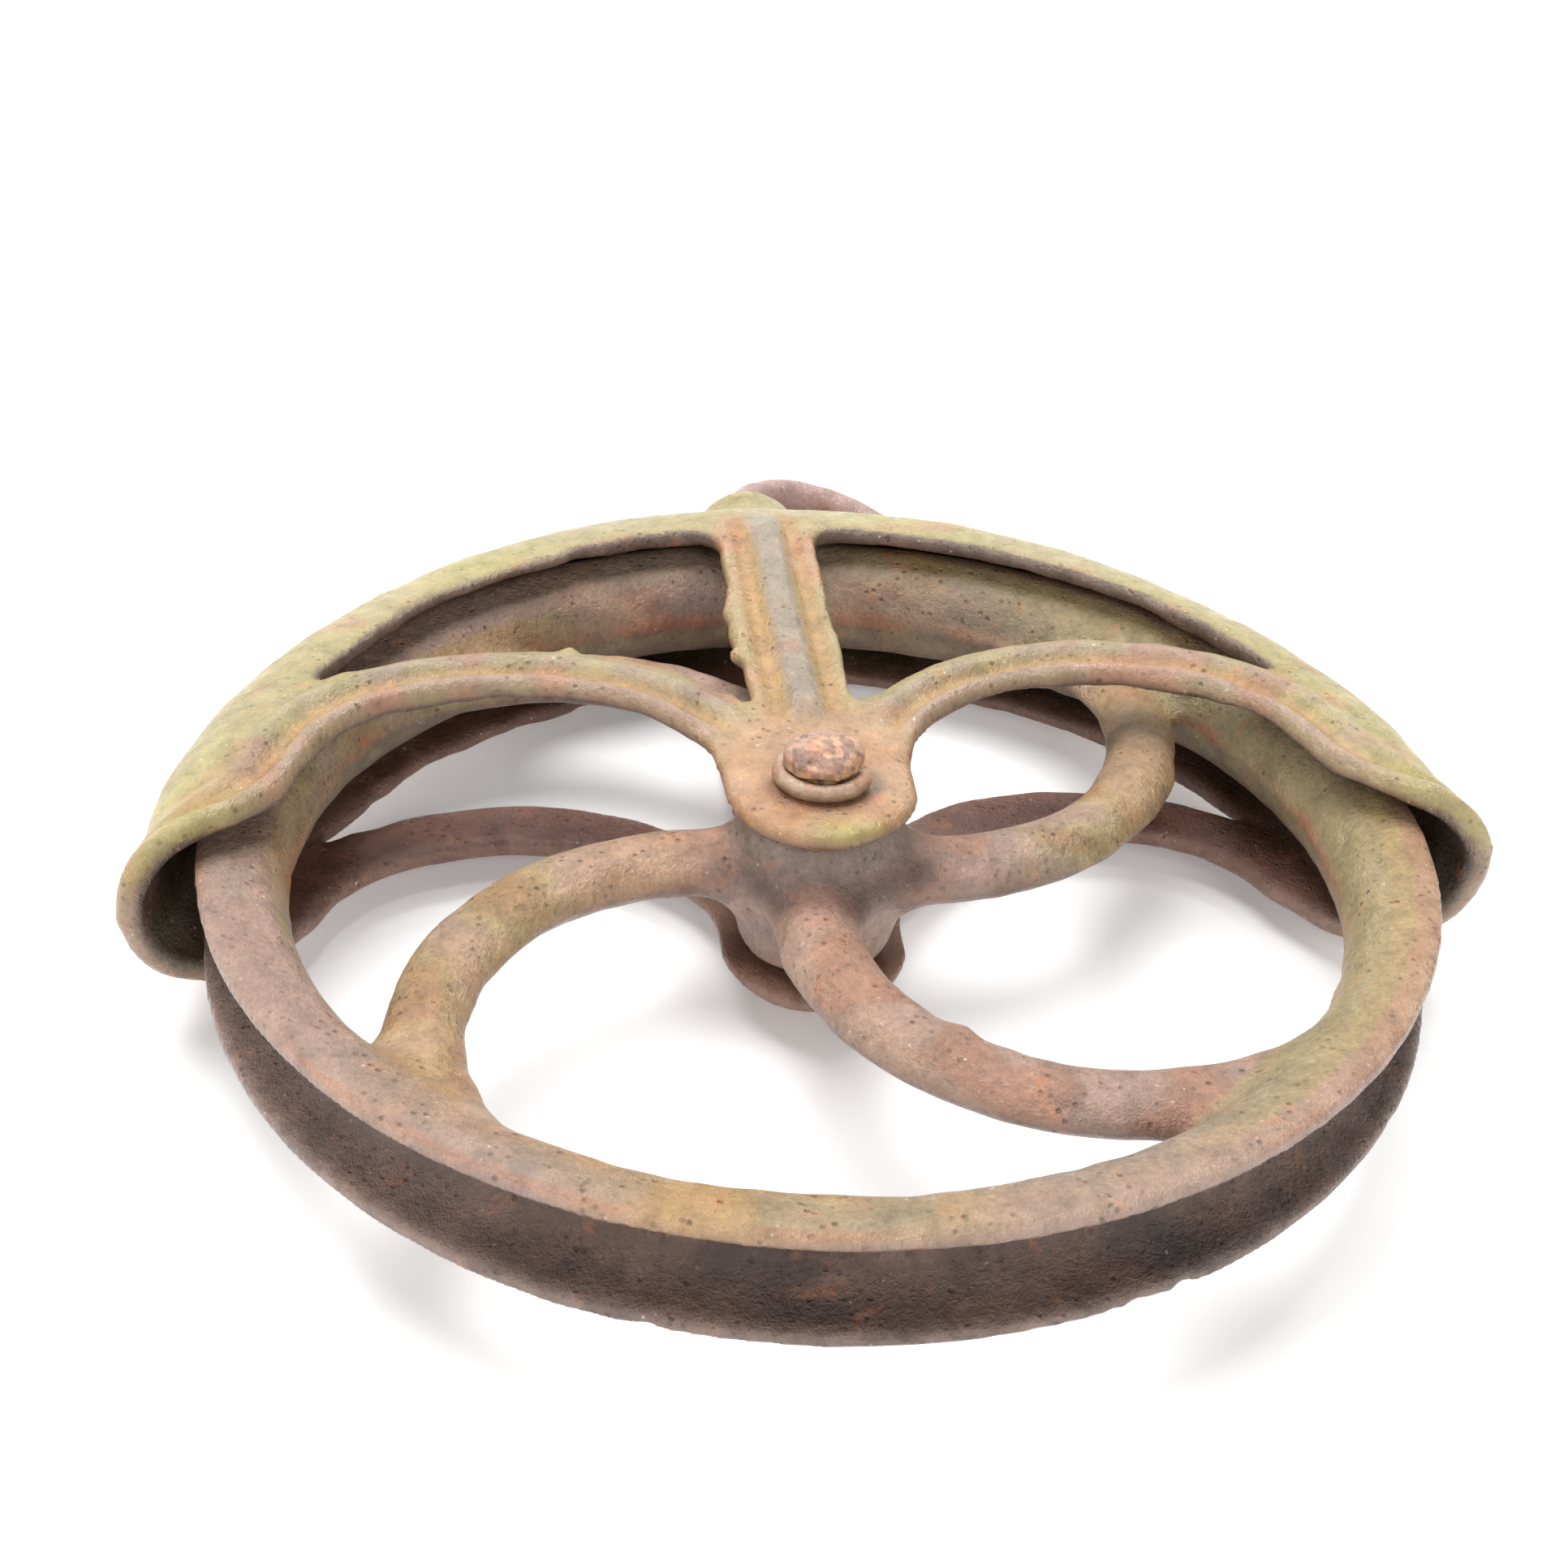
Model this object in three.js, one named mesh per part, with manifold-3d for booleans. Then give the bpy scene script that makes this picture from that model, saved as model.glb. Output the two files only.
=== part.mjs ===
// Hooded well-wheel pulley: a grooved cast-iron sheave with four swirled spokes, turning on a
// riveted axle inside a one-piece hooded frame that hangs from a swivel hook.
// Millimetres, +Z along the axle, +Y towards the crown and the hook.
// The origin is the middle of the flat lower end of the axle, on which the pulley lies.

import * as THREE from 'three'
import { mergeVertices } from 'three/addons/utils/BufferGeometryUtils.js'
import Module from 'manifold-3d'

// ---------------------------------------------------------------- driving dimensions

// Sheave
const RIM_RADIUS = 127
const RIM_HALF_WIDTH = 13
const FLANGE_TIP_THICKNESS = 3.9
const GROOVE_ROOT_RADIUS = 114
const RIM_BACK_RADIUS = 109.2
const RIM_SHOULDER_RADIUS = 116.5
const RIM_SHOULDER_HEIGHT = 11.8
const HUB_RADIUS = 16.2
const HUB_TOP = 15.2
const HUB_BOTTOM = -17.8
const SPOKE_COUNT = 4
const SPOKE_CURVE_RADIUS = 56.9
const SPOKE_START_RADIUS = 16.5
const SPOKE_SWEEP = THREE.MathUtils.degToRad(115)
const SPOKE_RUN_OUT = 26
const SPOKE_HALF_WIDTH = 7.8
const SPOKE_HALF_HEIGHT = 5.5
const SPOKE_END_RADIUS = 112
const FIRST_SPOKE_ANGLE = THREE.MathUtils.degToRad(-7.8)

// Hooded frame
const CHEEK_INNER_HALF_GAP = 18.5
const CHEEK_THICKNESS = 4.2
const HOOD_BULGE_START = 110
const HOOD_OUTER_RADIUS = 139.5
const HOOD_SQUARENESS = 2.6
const HOOD_MOUTH_Y = -8
const BOSS_RADIUS = 20.6
const ARM_CENTRE_X = 62.5
const ARM_CENTRE_Y = -8.5
const ARM_INNER_RADIUS = 49.5
const ARM_OUTER_RADIUS = 66.5
const WINDOW_OUTER_RADIUS = 116
const RIB_HALF_WIDTH = 11.5
const RIDGE_HALF_WIDTH = 4.6
const RIDGE_HEIGHT = 1.8
const RIDGE_START_Y = 18
const LIP_THICKNESS = 5.2
const LIP_HEIGHT = 7.2
const LIP_STAND_OUT = 5.1
const LIP_SPREAD = THREE.MathUtils.degToRad(66)
const CROWN_BOSS_RADIUS = 13.4
const CROWN_BOSS_END_Y = 158.7

// Axle pin and its split rings
const PIN_RADIUS = 6.35
const PIN_HEAD_RADIUS = 8.4
const PIN_HEAD_EDGE = 2.2
const PIN_HEAD_HEIGHT = 4.6
const PIN_FOOT_RADIUS = 6.4
const RING_WIRE_RADIUS = 1.9
const RING_MEAN_RADIUS = 8.7
const RING_GAP = THREE.MathUtils.degToRad(38)
const UPPER_GAP_ANGLE = THREE.MathUtils.degToRad(35)
const LOWER_GAP_ANGLE = THREE.MathUtils.degToRad(200)

// Swivel hook
const HOOK_BAR_RADIUS = 4.75
const HOOK_BEND_RADIUS = 24
const HOOK_CENTRE_Y = 167
const HOOK_TIP_ANGLE = THREE.MathUtils.degToRad(-42)
const HOOK_SWIVEL_REST = THREE.MathUtils.degToRad(16)
const RIVET_RADIUS = 7.4
const RIVET_HEIGHT = 2.4
const WASHER_RADIUS = 9.6
const WASHER_THICKNESS = 2
const POCKET_RADIUS = 10.2

// Clearances
const TOUCH_GAP = 0.3
const RUNNING_CLEARANCE = 0.4

// Facets
const FINE_SEGMENTS = 72
const ROUND_SEGMENTS = 28
const BAR_SEGMENTS = 12

// ---------------------------------------------------------------- heights that follow from them

const CHEEK_OUTER_HALF = CHEEK_INNER_HALF_GAP + CHEEK_THICKNESS
const RING_SEAT = CHEEK_OUTER_HALF + TOUCH_GAP
const HEAD_SEAT = RING_SEAT + 2 * RING_WIRE_RADIUS + TOUCH_GAP
const PIN_END = HEAD_SEAT + PIN_HEAD_HEIGHT
const FRAME_MID_Z = PIN_END
const SHEAVE_LIFT = 1.5
const SHEAVE_MID_Z = FRAME_MID_Z + SHEAVE_LIFT
const PIN_BORE_RADIUS = PIN_RADIUS + RUNNING_CLEARANCE
const SHANK_BORE_RADIUS = HOOK_BAR_RADIUS + RUNNING_CLEARANCE
const HOOD_INNER_RADIUS = HOOD_OUTER_RADIUS - CHEEK_THICKNESS
const POCKET_FLOOR_Y = HOOD_INNER_RADIUS + 5
const WASHER_TOP_Y = POCKET_FLOOR_Y - TOUCH_GAP
const RIVET_TOP_Y = WASHER_TOP_Y - WASHER_THICKNESS - TOUCH_GAP

const wasm = await Module()
wasm.setup()

// ---------------------------------------------------------------- helpers

// A closed three.js geometry as a solid that can be joined and cut.
function solid(geometry) {
  const bare = geometry.clone()
  bare.deleteAttribute('normal')
  bare.deleteAttribute('uv')
  const merged = mergeVertices(bare, 1e-4)
  const mesh = new wasm.Mesh({
    numProp: 3,
    vertProperties: new Float32Array(merged.attributes.position.array),
    triVerts: new Uint32Array(merged.index.array),
  })
  return new wasm.Manifold(mesh)
}

// The solid back as a three.js geometry.
function geometryOf(body) {
  const mesh = body.getMesh()
  const geometry = new THREE.BufferGeometry()
  geometry.setAttribute('position', new THREE.BufferAttribute(mesh.vertProperties, 3))
  geometry.setIndex(new THREE.BufferAttribute(mesh.triVerts, 1))
  geometry.computeVertexNormals()
  return geometry
}

// A body turned about Z from (radius, height) points that start and end on the axis.
function turned(points, segments) {
  const profile = points.map(([radius, height]) => new THREE.Vector2(radius, height))
  return new THREE.LatheGeometry(profile, segments).rotateX(Math.PI / 2)
}

// A cylinder along Z between two heights.
function roundBar(radius, from, to, segments = ROUND_SEGMENTS) {
  return turned([[0, from], [radius, from], [radius, to], [0, to]], segments)
}

// Points of an ellipse's arc, from one angle to another.
function arcPoints(centreX, centreY, radiusX, radiusY, from, to, steps) {
  const curve = new THREE.EllipseCurve(centreX, centreY, radiusX, radiusY, from, to, to < from)
  return curve.getPoints(steps).map((point) => [point.x, point.y])
}

// A section swept along a curve.
function swept(section, path, steps) {
  return new THREE.ExtrudeGeometry(section, { extrudePath: path, steps, bevelEnabled: false })
}

// A closed elliptical section.
function ovalSection(halfX, halfY, points) {
  const outline = new THREE.EllipseCurve(0, 0, halfX, halfY, 0, 2 * Math.PI).getPoints(points)
  outline.pop()
  return new THREE.Shape(outline)
}

function material(colour, roughness, metalness) {
  return new THREE.MeshStandardMaterial({ color: colour, roughness, metalness })
}

function named(name, body, finish) {
  const mesh = new THREE.Mesh(geometryOf(body), finish)
  mesh.name = name
  return mesh
}

// ---------------------------------------------------------------- sheave

// The rim's section: a round-bottomed rope groove between two flanges, with a bowed back.
function rimSolid() {
  const grooveHalf = RIM_HALF_WIDTH - FLANGE_TIP_THICKNESS
  const back = arcPoints(
    RIM_SHOULDER_RADIUS, 0, RIM_SHOULDER_RADIUS - RIM_BACK_RADIUS, RIM_SHOULDER_HEIGHT,
    1.5 * Math.PI, 0.5 * Math.PI, 6,
  )
  const groove = arcPoints(
    RIM_RADIUS, 0, RIM_RADIUS - GROOVE_ROOT_RADIUS, grooveHalf,
    0.5 * Math.PI, 1.5 * Math.PI, 8,
  )
  const section = [
    ...back,
    [RIM_RADIUS - 1, RIM_HALF_WIDTH],
    [RIM_RADIUS, RIM_HALF_WIDTH - 1],
    ...groove,
    [RIM_RADIUS, 1 - RIM_HALF_WIDTH],
    [RIM_RADIUS - 1, -RIM_HALF_WIDTH],
    back[0],
  ]
  return solid(turned(section.reverse(), FINE_SEGMENTS))
}

// One spoke leaves the hub radially and curls round to meet the rim at a slant.
function spokeSolid() {
  const steps = 12
  const points = [new THREE.Vector3(PIN_BORE_RADIUS + 2, 0, 0)]
  for (let i = 0; i <= steps; i++) {
    const angle = SPOKE_SWEEP * i / steps
    points.push(new THREE.Vector3(
      SPOKE_START_RADIUS + SPOKE_CURVE_RADIUS * Math.sin(angle),
      SPOKE_CURVE_RADIUS * (1 - Math.cos(angle)),
      0,
    ))
  }
  const runOut = new THREE.Vector3(Math.cos(SPOKE_SWEEP), Math.sin(SPOKE_SWEEP), 0)
  points.push(points[points.length - 1].clone().addScaledVector(runOut, SPOKE_RUN_OUT))
  const path = new THREE.CatmullRomCurve3(points)
  return solid(swept(ovalSection(SPOKE_HALF_HEIGHT, SPOKE_HALF_WIDTH, 12), path, 16))
}

function buildSheave() {
  const hub = solid(roundBar(HUB_RADIUS, HUB_BOTTOM, HUB_TOP))
  const bore = solid(roundBar(PIN_BORE_RADIUS, HUB_BOTTOM - 1, HUB_TOP + 1))
  const reach = solid(roundBar(SPOKE_END_RADIUS, -RIM_HALF_WIDTH, RIM_HALF_WIDTH, FINE_SEGMENTS))
  const spoke = spokeSolid().intersect(reach)
  let sheave = rimSolid().add(hub)
  for (let i = 0; i < SPOKE_COUNT; i++) {
    const angle = FIRST_SPOKE_ANGLE + 2 * Math.PI * i / SPOKE_COUNT
    sheave = sheave.add(spoke.rotate([0, 0, THREE.MathUtils.radToDeg(angle)]))
  }
  return sheave.subtract(bore)
}

// ---------------------------------------------------------------- hooded frame

// Half of the outline seen along the axle, from the foot of the axle boss, round under the arm
// and out along the hood's mouth.
function frameOutline() {
  const reach = HOOD_OUTER_RADIUS + 10
  const bossEnd = THREE.MathUtils.degToRad(12)
  const armStart = THREE.MathUtils.degToRad(138)
  const armEnd = THREE.MathUtils.degToRad(25)
  const half = new THREE.Path()
  half.absarc(0, 0, BOSS_RADIUS, -Math.PI / 2, bossEnd, false)
  half.quadraticCurveTo(
    BOSS_RADIUS, BOSS_RADIUS * 0.6,
    ARM_CENTRE_X + ARM_INNER_RADIUS * Math.cos(armStart),
    ARM_CENTRE_Y + ARM_INNER_RADIUS * Math.sin(armStart),
  )
  half.absarc(ARM_CENTRE_X, ARM_CENTRE_Y, ARM_INNER_RADIUS, armStart, armEnd, true)
  half.quadraticCurveTo(
    ARM_CENTRE_X + ARM_INNER_RADIUS, HOOD_MOUTH_Y + 2,
    ARM_CENTRE_X + ARM_OUTER_RADIUS - 6, HOOD_MOUTH_Y,
  )
  half.lineTo(reach, HOOD_MOUTH_Y)
  half.lineTo(reach, reach)
  const right = half.getPoints(8)
  const left = right.map((point) => new THREE.Vector2(-point.x, point.y)).reverse()
  left.pop()
  return new THREE.Shape([...right, ...left])
}

// The window between one arm, the rib and the hood, on the side of +X.
function windowOutline() {
  const ribTop = Math.acos(RIB_HALF_WIDTH / WINDOW_OUTER_RADIUS)
  const armFoot = THREE.MathUtils.degToRad(138)
  const hoodEnd = THREE.MathUtils.degToRad(22)
  const armEnd = THREE.MathUtils.degToRad(48)
  const outline = new THREE.Path()
  outline.absarc(0, 0, WINDOW_OUTER_RADIUS, hoodEnd, ribTop, false)
  outline.lineTo(RIB_HALF_WIDTH, ARM_CENTRE_Y + ARM_OUTER_RADIUS * Math.sin(armFoot))
  outline.absarc(ARM_CENTRE_X, ARM_CENTRE_Y, ARM_OUTER_RADIUS, armFoot, armEnd, true)
  return new THREE.Shape(outline.getPoints(10))
}

// A block of the outline's shape, taller than the frame.
function prism(shape) {
  const height = 3 * CHEEK_OUTER_HALF
  const geometry = new THREE.ExtrudeGeometry(shape, { depth: height, bevelEnabled: false })
  return solid(geometry.translate(0, 0, -height / 2))
}

// The hood's section: from one cheek round the outside to the other, a little squarer than a
// half ellipse. The angle runs from -90 to 90 degrees.
function bulgePoint(angle, halfHeight, edgeRadius) {
  const power = 2 / HOOD_SQUARENESS
  const out = Math.max(0, Math.cos(angle)) ** power
  const up = Math.sign(angle) * Math.abs(Math.sin(angle)) ** power
  return [HOOD_BULGE_START + (edgeRadius - HOOD_BULGE_START) * out, halfHeight * up]
}

// A flat-sided drum with a bulging edge: the frame is the skin between two of these.
function drum(halfHeight, edgeRadius) {
  const steps = 12
  const bulge = []
  for (let i = 0; i <= steps; i++) {
    bulge.push(bulgePoint(Math.PI * (i / steps - 0.5), halfHeight, edgeRadius))
  }
  return solid(turned([[0, -halfHeight], ...bulge, [0, halfHeight]], FINE_SEGMENTS))
}

// The rolled lip round one mouth of the hood.
function lipSolid(side) {
  const steps = 14
  const edgeRadius = HOOD_OUTER_RADIUS + LIP_STAND_OUT - LIP_HEIGHT / 2
  const points = []
  for (let i = 0; i <= steps; i++) {
    const angle = LIP_SPREAD * (2 * i / steps - 1)
    const [radius, height] = bulgePoint(angle, CHEEK_OUTER_HALF, edgeRadius)
    points.push(new THREE.Vector3(side * radius, HOOD_MOUTH_Y + LIP_THICKNESS / 2, height))
  }
  const path = new THREE.CatmullRomCurve3(points)
  return solid(swept(ovalSection(LIP_THICKNESS / 2, LIP_HEIGHT / 2, 8), path, steps))
}

// The raised ridge down the middle of a cheek, from the hood to the axle boss.
function ridgeSolid() {
  const path = new THREE.LineCurve3(
    new THREE.Vector3(0, RIDGE_START_Y, 0),
    new THREE.Vector3(0, HOOD_BULGE_START + 6, 0),
  )
  return solid(swept(ovalSection(RIDGE_HEIGHT, RIDGE_HALF_WIDTH, 12), path, 1))
}

function alongY(geometry) {
  return solid(geometry.rotateX(-Math.PI / 2))
}

function buildFrame() {
  const window = prism(windowOutline())
  const cavity = drum(CHEEK_INNER_HALF_GAP, HOOD_INNER_RADIUS)
  const crownBoss = alongY(roundBar(CROWN_BOSS_RADIUS, HOOD_INNER_RADIUS - 6, CROWN_BOSS_END_Y))
  const shankBore = alongY(roundBar(SHANK_BORE_RADIUS, HOOD_INNER_RADIUS - 8, CROWN_BOSS_END_Y + 1))
  const pocket = alongY(roundBar(POCKET_RADIUS, HOOD_INNER_RADIUS - 8, POCKET_FLOOR_Y))
  const pinBore = solid(roundBar(PIN_BORE_RADIUS, -CHEEK_OUTER_HALF - 1, CHEEK_OUTER_HALF + 1))
  const ridge = ridgeSolid()
  return drum(CHEEK_OUTER_HALF, HOOD_OUTER_RADIUS)
    .intersect(prism(frameOutline()))
    .subtract(window)
    .subtract(window.rotate([0, 180, 0]))
    .add(ridge.translate([0, 0, CHEEK_OUTER_HALF]))
    .add(ridge.translate([0, 0, -CHEEK_OUTER_HALF]))
    .add(lipSolid(1))
    .add(lipSolid(-1))
    .add(crownBoss)
    .subtract(cavity)
    .subtract(pocket)
    .subtract(shankBore)
    .subtract(pinBore)
}

// ---------------------------------------------------------------- axle pin and split rings

// A plain rod with a domed head on top and a flat-hammered head below.
function buildPin() {
  const dome = arcPoints(
    0, HEAD_SEAT + PIN_HEAD_EDGE, PIN_HEAD_RADIUS, PIN_HEAD_HEIGHT - PIN_HEAD_EDGE,
    0, Math.PI / 2, 6,
  )
  const profile = [
    [0, -PIN_END],
    [PIN_FOOT_RADIUS, -PIN_END],
    [PIN_HEAD_RADIUS, -HEAD_SEAT - PIN_HEAD_EDGE],
    [PIN_HEAD_RADIUS, -HEAD_SEAT],
    [PIN_RADIUS, -HEAD_SEAT],
    [PIN_RADIUS, HEAD_SEAT],
    [PIN_HEAD_RADIUS, HEAD_SEAT],
    ...dome.slice(0, -1),
    [0, PIN_END],
  ]
  return solid(turned(profile, ROUND_SEGMENTS))
}

// A round wire bent into a C about the pin.
function buildSplitRing(gapAngle) {
  const steps = 24
  const points = []
  for (let i = 0; i <= steps; i++) {
    const angle = gapAngle + RING_GAP / 2 + (2 * Math.PI - RING_GAP) * i / steps
    points.push(new THREE.Vector3(
      RING_MEAN_RADIUS * Math.cos(angle),
      RING_MEAN_RADIUS * Math.sin(angle),
      0,
    ))
  }
  const path = new THREE.CatmullRomCurve3(points)
  return solid(swept(ovalSection(RING_WIRE_RADIUS, RING_WIRE_RADIUS, 10), path, steps))
}

// ---------------------------------------------------------------- swivel hook

// A round bar: a straight shank through the crown boss, then one open bend, then the tip.
function buildHook() {
  const shankStart = RIVET_TOP_Y - 1
  const shankEnd = CROWN_BOSS_END_Y + 1
  const points = [
    new THREE.Vector3(0, shankStart, 0),
    new THREE.Vector3(0, (shankStart + shankEnd) / 2, 0),
    new THREE.Vector3(0, shankEnd, 0),
  ]
  const steps = 16
  for (let i = 0; i <= steps; i++) {
    const angle = Math.PI + (HOOK_TIP_ANGLE - Math.PI) * i / steps
    points.push(new THREE.Vector3(
      HOOK_BEND_RADIUS * (1 + Math.cos(angle)),
      HOOK_CENTRE_Y + HOOK_BEND_RADIUS * Math.sin(angle),
      0,
    ))
  }
  const path = new THREE.CatmullRomCurve3(points)
  const bar = solid(swept(ovalSection(HOOK_BAR_RADIUS, HOOK_BAR_RADIUS, BAR_SEGMENTS), path, 28))
  const rivet = alongY(turned([
    [0, RIVET_TOP_Y - RIVET_HEIGHT],
    [RIVET_RADIUS * 0.7, RIVET_TOP_Y - RIVET_HEIGHT],
    [RIVET_RADIUS, RIVET_TOP_Y - RIVET_HEIGHT / 3],
    [RIVET_RADIUS, RIVET_TOP_Y],
    [0, RIVET_TOP_Y],
  ], BAR_SEGMENTS))
  const tip = new THREE.SphereGeometry(HOOK_BAR_RADIUS, BAR_SEGMENTS, 8)
  const end = points[points.length - 1]
  return bar.add(rivet).add(solid(tip.translate(end.x, end.y, end.z)))
}

function buildWasher() {
  const ring = turned([
    [HOOK_BAR_RADIUS + RUNNING_CLEARANCE, WASHER_TOP_Y - WASHER_THICKNESS],
    [WASHER_RADIUS, WASHER_TOP_Y - WASHER_THICKNESS],
    [WASHER_RADIUS, WASHER_TOP_Y],
    [HOOK_BAR_RADIUS + RUNNING_CLEARANCE, WASHER_TOP_Y],
    [HOOK_BAR_RADIUS + RUNNING_CLEARANCE, WASHER_TOP_Y - WASHER_THICKNESS],
  ], ROUND_SEGMENTS)
  return alongY(ring)
}

// ---------------------------------------------------------------- assembly

const frameIron = material(0x8f8356, 0.7, 0.35)
const sheaveIron = material(0x86705f, 0.72, 0.35)
const pinSteel = material(0x8a6552, 0.6, 0.5)
const ringSteel = material(0x8d7a66, 0.55, 0.5)
const hookIron = material(0x7d6558, 0.65, 0.45)

const pulley = new THREE.Group()

const frameGroup = new THREE.Group()
frameGroup.position.z = FRAME_MID_Z
frameGroup.add(named('hood_frame', buildFrame(), frameIron))
frameGroup.add(named('axle_pin', buildPin(), pinSteel))

const ringHeight = RING_SEAT + RING_WIRE_RADIUS
const upperRing = named('upper_split_ring', buildSplitRing(UPPER_GAP_ANGLE), ringSteel)
upperRing.position.z = ringHeight
frameGroup.add(upperRing)
const lowerRing = named('lower_split_ring', buildSplitRing(LOWER_GAP_ANGLE), ringSteel)
lowerRing.position.z = -ringHeight
frameGroup.add(lowerRing)

const hook = named('swivel_hook', buildHook(), hookIron)
hook.rotation.y = HOOK_SWIVEL_REST
frameGroup.add(hook)
frameGroup.add(named('swivel_washer', buildWasher(), ringSteel))
pulley.add(frameGroup)

const sheave = named('sheave', buildSheave(), sheaveIron)
sheave.position.z = SHEAVE_MID_Z
pulley.add(sheave)

export default pulley
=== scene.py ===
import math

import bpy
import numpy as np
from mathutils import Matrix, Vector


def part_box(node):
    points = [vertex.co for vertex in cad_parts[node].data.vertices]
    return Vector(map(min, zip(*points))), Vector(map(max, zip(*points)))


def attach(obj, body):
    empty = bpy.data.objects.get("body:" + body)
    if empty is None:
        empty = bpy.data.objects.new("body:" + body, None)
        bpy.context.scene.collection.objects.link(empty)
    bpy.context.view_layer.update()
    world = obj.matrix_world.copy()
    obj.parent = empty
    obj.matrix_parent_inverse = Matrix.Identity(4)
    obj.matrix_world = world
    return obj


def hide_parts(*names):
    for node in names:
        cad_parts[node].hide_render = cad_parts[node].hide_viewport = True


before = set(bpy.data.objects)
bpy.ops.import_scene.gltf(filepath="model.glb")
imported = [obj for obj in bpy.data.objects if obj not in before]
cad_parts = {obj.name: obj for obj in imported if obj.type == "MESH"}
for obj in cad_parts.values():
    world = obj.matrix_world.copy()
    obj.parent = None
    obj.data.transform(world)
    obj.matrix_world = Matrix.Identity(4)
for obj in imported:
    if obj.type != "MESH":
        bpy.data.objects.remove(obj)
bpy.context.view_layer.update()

# A hooded well pulley of old cast iron, lying on the foot of its axle. Each piece is a solid
# described by distances in millimetres, meshed once, then painted and given a worn iron surface.
# The row frame is the CAD's: +Z along the axle, +Y towards the crown and the hook.

import openvdb
from mathutils import Matrix, Vector

MM = 0.001
# Fields are kept exact only this far from a skin.
BAND = 4.0
COARSE = 1.0


def millimetres(node):
    """The low and high corners of a CAD node's box."""
    low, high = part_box(node)
    return np.array(low) / MM, np.array(high) / MM


# ------------------------------------------------------------------ places given by the CAD

FRAME_BOX = millimetres("hood_frame")
SHEAVE_BOX = millimetres("sheave")
PIN_BOX = millimetres("axle_pin")
UPPER_RING_BOX = millimetres("upper_split_ring")
LOWER_RING_BOX = millimetres("lower_split_ring")
HOOK_BOX = millimetres("swivel_hook")
WASHER_BOX = millimetres("swivel_washer")

FRAME_Z = (FRAME_BOX[0][2] + FRAME_BOX[1][2]) / 2
# The hub stands further out of the rim's middle plane below than above.
HUB_BELOW = 17.8
HUB_ABOVE = 15.2
SHEAVE_Z = SHEAVE_BOX[0][2] + HUB_BELOW
RIM_RADIUS = SHEAVE_BOX[1][0]
HOOD_REACH = FRAME_BOX[1][0]
CROWN_TOP = FRAME_BOX[1][1]


# ------------------------------------------------------------------ distance fields

class Grid:
    """A box of sample points with a step in millimetres."""

    def __init__(self, low, high, step):
        self.step = step
        self.axes = [
            np.arange(a, b + step, step, dtype=np.float32) for a, b in zip(low, high)
        ]
        self.x = self.axes[0][:, None, None]
        self.y = self.axes[1][None, :, None]
        self.z = self.axes[2][None, None, :]

    def sample(self, field, points):
        """The field's values at points in grid steps."""
        size = np.array(field.shape) - 1.001
        place = np.clip(points, 0, size)
        cell = place.astype(int)
        part = place - cell
        i, j, k = cell.T
        u, v, w = part.T
        total = 0
        for a, wa in ((0, 1 - u), (1, u)):
            for b, wb in ((0, 1 - v), (1, v)):
                for c, wc in ((0, 1 - w), (1, w)):
                    total = total + field[i + a, j + b, k + c] * wa * wb * wc
        return total


def spline_weights(places, scale, count):
    """Cubic spline weights of each place on a lattice with the given spacing."""
    u = (places - places[0]) / scale
    cell = np.floor(u).astype(int)
    t = u - cell
    weights = np.zeros((len(places), count), np.float32)
    rows = np.arange(len(places))
    parts = (
        (1 - t) ** 3 / 6,
        (3 * t ** 3 - 6 * t ** 2 + 4) / 6,
        (3 * t + 3 * t ** 2 - 3 * t ** 3 + 1) / 6,
        t ** 3 / 6,
    )
    for k, part in enumerate(parts):
        weights[rows, cell + k] = part
    return weights


def noise(grid, scale, seed):
    """Smooth random values with a spread of about one, in lumps of the given size."""
    bases = [
        spline_weights(a, scale, int((a[-1] - a[0]) / scale) + 5) for a in grid.axes
    ]
    shape = [b.shape[1] for b in bases]
    values = np.random.default_rng(seed).standard_normal(shape).astype(np.float32)
    for base in bases:
        values = np.tensordot(values, base, axes=([0], [1]))
    return values * 2.9


def blend_add(a, b, width):
    """The union of two solids with a fillet."""
    h = np.clip(0.5 + 0.5 * (b - a) / width, 0, 1)
    return b * (1 - h) + a * h - width * h * (1 - h)


def blend_common(a, b, width):
    """What two solids share, with a rounded edge."""
    return -blend_add(-a, -b, width)


def blend_cut(a, b, width):
    """The first solid less the second, with a rounded edge."""
    return -blend_add(-a, b, width)


def bump(value, width):
    """One at zero, fading to nothing on both sides."""
    return np.exp(-np.square(value / width))


def ramp(low, high, value):
    """A smooth step from 0 at low to 1 at high, which may be the smaller of the two."""
    t = np.clip((value - low) / (high - low), 0, 1)
    return t * t * (3 - 2 * t)


def polygon_distance(corners, x, y):
    """The distance to a closed outline, negative inside."""
    squared = np.full(np.broadcast(x, y).shape, 1e9, np.float32)
    inside = np.zeros(squared.shape, bool)
    for (ax, ay), (bx, by) in zip(corners, np.roll(corners, -1, axis=0)):
        ex, ey = bx - ax, by - ay
        length = ex * ex + ey * ey
        if length < 1e-9:
            continue
        wx, wy = x - ax, y - ay
        t = np.clip((wx * ex + wy * ey) / length, 0, 1)
        squared = np.minimum(squared, (wx - t * ex) ** 2 + (wy - t * ey) ** 2)
        if abs(ey) > 1e-9:
            across = ((ay > y) != (by > y)) & (x < ax + ex * (y - ay) / ey)
            inside ^= across
    distance = np.sqrt(squared)
    return np.where(inside, -distance, distance).astype(np.float32)


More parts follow.
